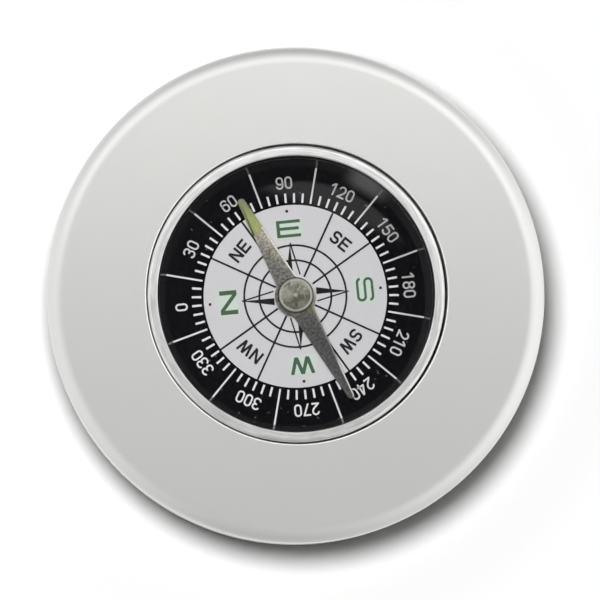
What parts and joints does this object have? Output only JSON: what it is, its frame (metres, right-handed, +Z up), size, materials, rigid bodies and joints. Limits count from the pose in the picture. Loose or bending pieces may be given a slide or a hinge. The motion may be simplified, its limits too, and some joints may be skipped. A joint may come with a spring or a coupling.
{
  "type": "qibla compass",
  "caption": "Round aluminium desk compass: a sealed needle compass with a degree dial, clear lens and bright bezel, set flush in a thick satin disc with felt underneath.",
  "frame": {"origin": "centre of the felt underside, on the needle's turning axis", "axes": "+Z up through the lens along the needle's turning axis, +Y to the top of the face as pictured, +X to its right"},
  "size_m": [0.067, 0.067, 0.0127],
  "materials": {
    "satin_aluminium": "fine satin, clear anodised",
    "felt": "pressed felt",
    "adhesive_film": "tacky film",
    "foam_tape": "closed-cell foam tape",
    "cup_brass": "drawn, bare",
    "dial_print": "printed, semi-gloss",
    "spacer_black": "glossy moulded",
    "gasket_rubber": "matte",
    "lens_clear": "polished clear",
    "bezel_plating": "bright, finely turned",
    "bush_brass": "turned",
    "pin_steel": "hardened, polished point",
    "needle_steel": "tempered, slightly mottled",
    "cap_plated_brass": "dull nickel plate",
    "jewel": "polished"
  },
  "bodies": {
    "base": {"base_disc": "satin_aluminium", "base_pad": "felt", "pad_adhesive": "adhesive_film", "capsule_tape": "foam_tape", "capsule_cup": "cup_brass", "dial_plate": "dial_print", "spacer_ring": "spacer_black", "lens_gasket": "gasket_rubber", "lens": "lens_clear", "bezel_ring": "bezel_plating", "pivot_bush": "bush_brass", "pivot_pin": "pin_steel"},
    "needle": {"needle_blade": "needle_steel", "needle_cap": "cap_plated_brass", "needle_jewel": "jewel"}
  },
  "joints": [
    {"name": "needle_turn", "type": "hinge", "parent": "base", "child": "needle", "pos_m": [0, 0, 0.00905], "axis": [0, 0, 1], "continuous": true}
  ]
}
